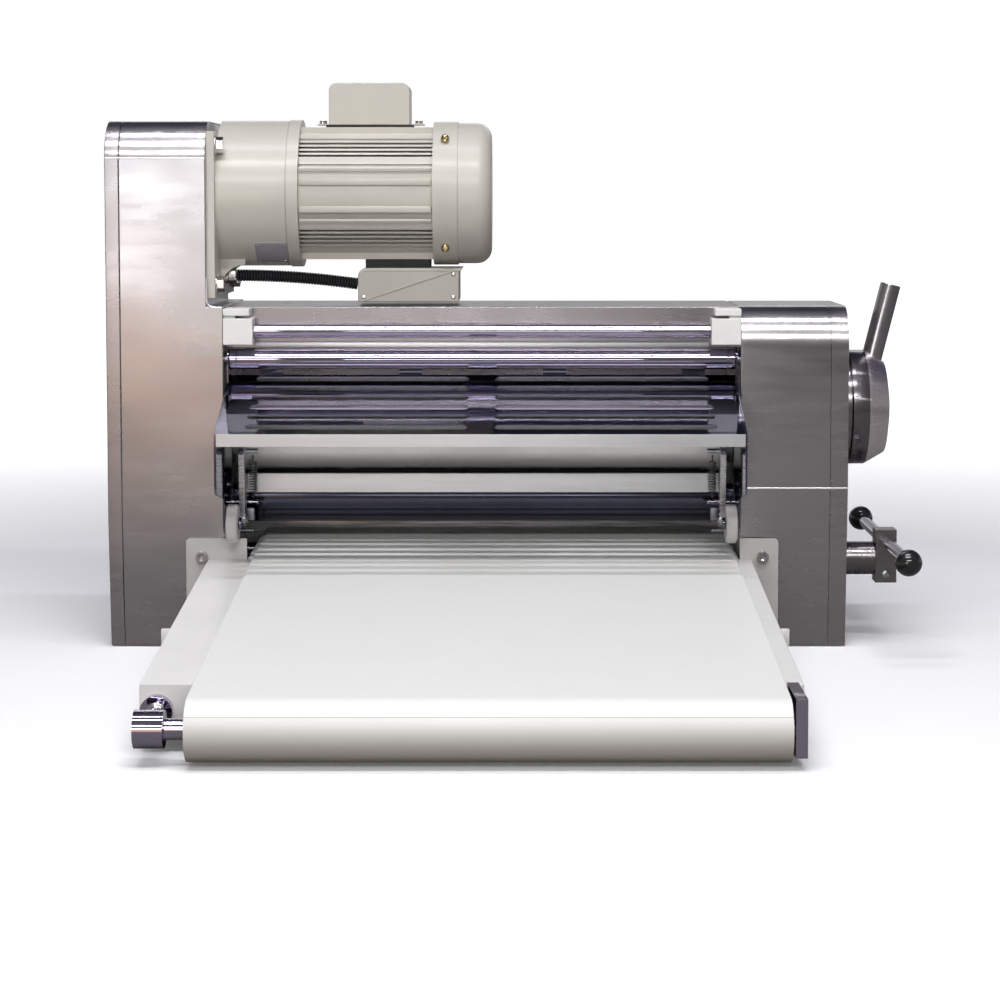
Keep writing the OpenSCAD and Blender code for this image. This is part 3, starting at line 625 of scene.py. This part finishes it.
def step_edge():
    """Rounded edge where the drive housing steps in under the gearbox, bright from the light steel
    of a painted highlight.
    """
    y = limits("drive_shell")[0].y + 1.0
    x, z, r = -284.2, 356.0, 8.0
    path = [Vector((x, y, z + 30)), Vector((x, y, z + 18)), Vector((x, y, z + r))]
    for i in range(1, 9):
        a = math.pi + i / 8 * math.pi / 2
        path.append(Vector((x + r + r * math.cos(a), y, z + r + r * math.sin(a) - 0.6)))
    path.append(Vector((-268.2, y, z - 0.8)))
    bm = bmesh.new()
    sweep(bm, path, 1.25, 12)
    piece("step_edge", bm, "hem", "frame")


def scraper_hardware():
    """Bolts on the scraper's arms, and the fingers and pins that stop its swing."""
    bm = bmesh.new()
    for s in (-1, 1):
        button_screw(bm, s * 250.8, -83.4, 204.2, (0, -1, 0), 2.9, 2.0)
    piece("arm_bolts", bm, "dark_steel", "scraper")
    bm = bmesh.new()
    for s in (-1, 1):
        slab(bm, (min(s * 238, s * 246.6), -78, 132), (max(s * 238, s * 246.6), -72, 145), 0.9)
        bar(bm, s * 239.5, s * 262, -75, 121, 1.7, 12)
        bar(bm, s * 246.8, s * 266, -75, 138, 2.6, 12)
    piece("scraper_stops", bm, "dark_steel", "frame")


def dial_scale():
    """Engraved scale round the dial's rim and the index on the housing."""
    low = limits("dial_knob")[0]
    step, rim, inset, width, depth = 7.5, 60.3, 1.0, 0.55, 0.5
    bm = bmesh.new()
    for i in range(-6, 31):
        a = math.radians(90 + step * i)
        long = 7.5 if i % 4 == 0 else 4.0
        matrix = Matrix.Translation((low.x, *DIAL_AXIS)) @ Matrix.Rotation(a, 4, "X")
        made = bmesh.ops.create_cube(bm, size=1.0)["verts"]
        for v in made:
            x = inset + (v.co.x + 0.5) * long
            v.co = matrix @ Vector((x, v.co.y * width, rim + v.co.z * depth))
    piece("dial_scale", bm, "ink", "gap_dial")
    bm = bmesh.new()
    slab(bm, (low.x - 7.2, -27, 306), (low.x - 1.0, -23, 316), 0.8)
    piece("dial_index", bm, "ink", "frame")


def conveyor_hardware():
    """Tabs outside the rails, the take-up screw's dome and the belt's joint."""
    bm = bmesh.new()
    left, right = limits("conveyor_rail_left")[0].x, limits("conveyor_rail_right")[1].x
    reach, sunk = 7.6, 0.2
    for x0, x1 in ((left - reach, left + sunk), (right - sunk, right + reach)):
        slab(bm, (x0, -386, 57), (x1, -380, 73), 0.9)
    piece("rail_tabs", bm, "white_paint", "frame")
    bm = bmesh.new()
    button_screw(bm, -269, -573.8, 36, (0, -1, 0), 8.5, 3.2)
    for y in (-330, -500):
        button_screw(bm, left + 0.1, y, 55, (-1, 0, 0), 4.0, 2.2)
        button_screw(bm, right - 0.1, y, 55, (1, 0, 0), 4.0, 2.2)
    piece("rail_screws", bm, "bolt", "frame")
    bm = bmesh.new()
    low, high = limits("conveyor_belt")
    a = math.radians(33)
    r = BELT_NOSE_RADIUS - 0.25
    y, z = BELT_NOSE[0] - r * math.cos(a), BELT_NOSE[1] + r * math.sin(a)
    bar(bm, low.x + 0.5, high.x - 0.5, y, z, 0.42, 8)
    piece("belt_joint", bm, "seam", "frame")


# ---------------------------------------------------------------- studio
def floor():
    """White paper: the camera sees it fade to white, while metal sees a dim table top."""
    reach = 14.0
    mesh = bpy.data.meshes.new("floor")
    points = [(-reach, -reach, 0), (reach, -reach, 0), (reach, reach, 0), (-reach, reach, 0)]
    mesh.from_pydata(points, [], [(0, 1, 2, 3)])
    obj = bpy.data.objects.new("floor", mesh)
    scene.collection.objects.link(obj)
    s = Shader("floor_paper")
    s.set(Roughness=0.8, Specular_IOR_Level=0.1)
    far = s.node("ShaderNodeVectorMath", operation="LENGTH")
    s.join(s.place, far.inputs[0])
    fade = s.remap(far.outputs["Value"], 0.9, 2.6, 0.10, 1.0)
    seen = s.node("ShaderNodeLightPath").outputs["Is Camera Ray"]
    s.colour(s.mix(seen, (0.24, 0.235, 0.23), (0.93, 0.93, 0.93)))
    s.set(Emission_Color=(1, 1, 1, 1))
    s.join(s.math("MULTIPLY", fade, seen), s.bsdf.inputs["Emission Strength"])
    mesh.materials.append(s.mat)


def world():
    """White to the camera; to everything else a dim room, darkest behind the machine."""
    made = bpy.data.worlds.new("studio")
    scene.world = made
    made.use_nodes = True
    tree = made.node_tree

    def node(kind, **settings):
        new = tree.nodes.new(kind)
        for key, value in settings.items():
            setattr(new, key, value)
        return new

    def ramp(source, stops):
        new = node("ShaderNodeValToRGB")
        tree.links.new(source, new.inputs["Fac"])
        elements = new.color_ramp.elements
        while len(elements) < len(stops):
            elements.new(0.5)
        for element, (position, colour) in zip(elements, stops):
            element.position, element.color = position, (*colour, 1)
        return new.outputs["Color"]

    def mix(fac, a, b):
        new = node("ShaderNodeMix", data_type="RGBA")
        tree.links.new(fac, new.inputs["Factor"])
        tree.links.new(a, new.inputs[6])
        if isinstance(b, tuple):
            new.inputs[7].default_value = b
        else:
            tree.links.new(b, new.inputs[7])
        return new.outputs[2]

    def remap(source, low, high):
        new = node("ShaderNodeMapRange")
        new.inputs["From Min"].default_value = low
        new.inputs["From Max"].default_value = high
        tree.links.new(source, new.inputs["Value"])
        return new.outputs["Result"]

    split = node("ShaderNodeSeparateXYZ")
    tree.links.new(node("ShaderNodeTexCoord").outputs["Generated"], split.inputs[0])
    height = remap(split.outputs["Z"], 0.0, 1.0)
    front = ramp(height, (
        (0.0, (0.25, 0.235, 0.225)), (0.20, (0.21, 0.205, 0.20)), (0.45, (0.16, 0.16, 0.17)),
        (0.75, (0.20, 0.20, 0.22)), (1.0, (0.22, 0.22, 0.25))))
    rear = ramp(height, (
        (0.0, (0.70, 0.70, 0.71)), (0.22, (0.30, 0.30, 0.31)), (0.40, (0.05, 0.05, 0.08)),
        (0.85, (0.045, 0.045, 0.07)), (0.98, (0.2, 0.2, 0.22))))
    room = mix(remap(split.outputs["Y"], -0.15, 0.25), front, rear)
    seen = mix(node("ShaderNodeLightPath").outputs["Is Camera Ray"], room, (1, 1, 1, 1))
    tree.links.new(seen, tree.nodes["Background"].inputs["Color"])


def area(name, at, aim, size, level, colour=(1, 1, 1)):
    """Rectangular light whose face is level times as bright as white paper."""
    data = bpy.data.lights.new(name, "AREA")
    data.shape = "RECTANGLE"
    data.size, data.size_y = size
    data.energy = level * math.pi * size[0] * size[1]
    data.color = colour
    obj = bpy.data.objects.new(name, data)
    scene.collection.objects.link(obj)
    obj.location = at
    obj.rotation_euler = (Vector(aim) - Vector(at)).to_track_quat("-Z", "Y").to_euler()
    obj.visible_camera = False


def studio():
    floor()
    world()
    area("key_strip", (0.0, -1.42, 2.05), (0.0, -0.05, 0.1), (1.6, 0.045), 113, (1.0, 0.99, 0.98))
    area("tube", (0.0, -0.55, 2.7), (0.0, -0.2, 0.2), (1.7, 0.05), 75, (0.90, 0.87, 1.0))
    area("front_tube", (0.1, -3.6, 1.95), (0.0, 0.0, 0.2), (2.6, 0.16), 33)
    # what the drive housing's front mirrors
    cool, warm = (1.0, 1.0, 1.03), (1.0, 0.60, 0.37)
    area("window_high", (-0.68, -2.3, 0.47), (-0.35, -0.1, 0.42), (0.50, 0.26), 5.9, cool)
    area("window_low", (-0.68, -2.3, 0.11), (-0.35, -0.1, 0.24), (0.50, 0.22), 1.9, warm)
    area("belt_glow", (0.0, -1.3, 0.27), (0.0, 0.0, 0.2), (0.46, 0.06), 7)
    area("back_soft", (0.0, 2.6, 1.4), (0, 0, 0.3), (2.4, 0.5), 1.5)
    scene.view_settings.view_transform = "Standard"
    scene.view_settings.look = "None"


def camera():
    """The photo's camera, as fitted to the machine's edges."""
    data = bpy.data.cameras.new("camera")
    obj = bpy.data.objects.new("camera", data)
    scene.collection.objects.link(obj)
    scene.camera = obj
    pitch = math.radians(3.96)
    obj.location = (0.0345, -2.595, 0.472)
    obj.rotation_euler = (math.pi / 2 - pitch, 0, 0)
    data.sensor_width = 36.0
    data.lens = 87.37
    data.shift_x = -0.0155
    data.shift_y = -0.1377


camera()
dress_cad()
scraper_springs()
conduit()
bend_lines()
cover_hem()
cover_screws()
terminal_lid()
rating_plate()
motor_details()
step_edge()
scraper_hardware()
dial_scale()
conveyor_hardware()
studio()
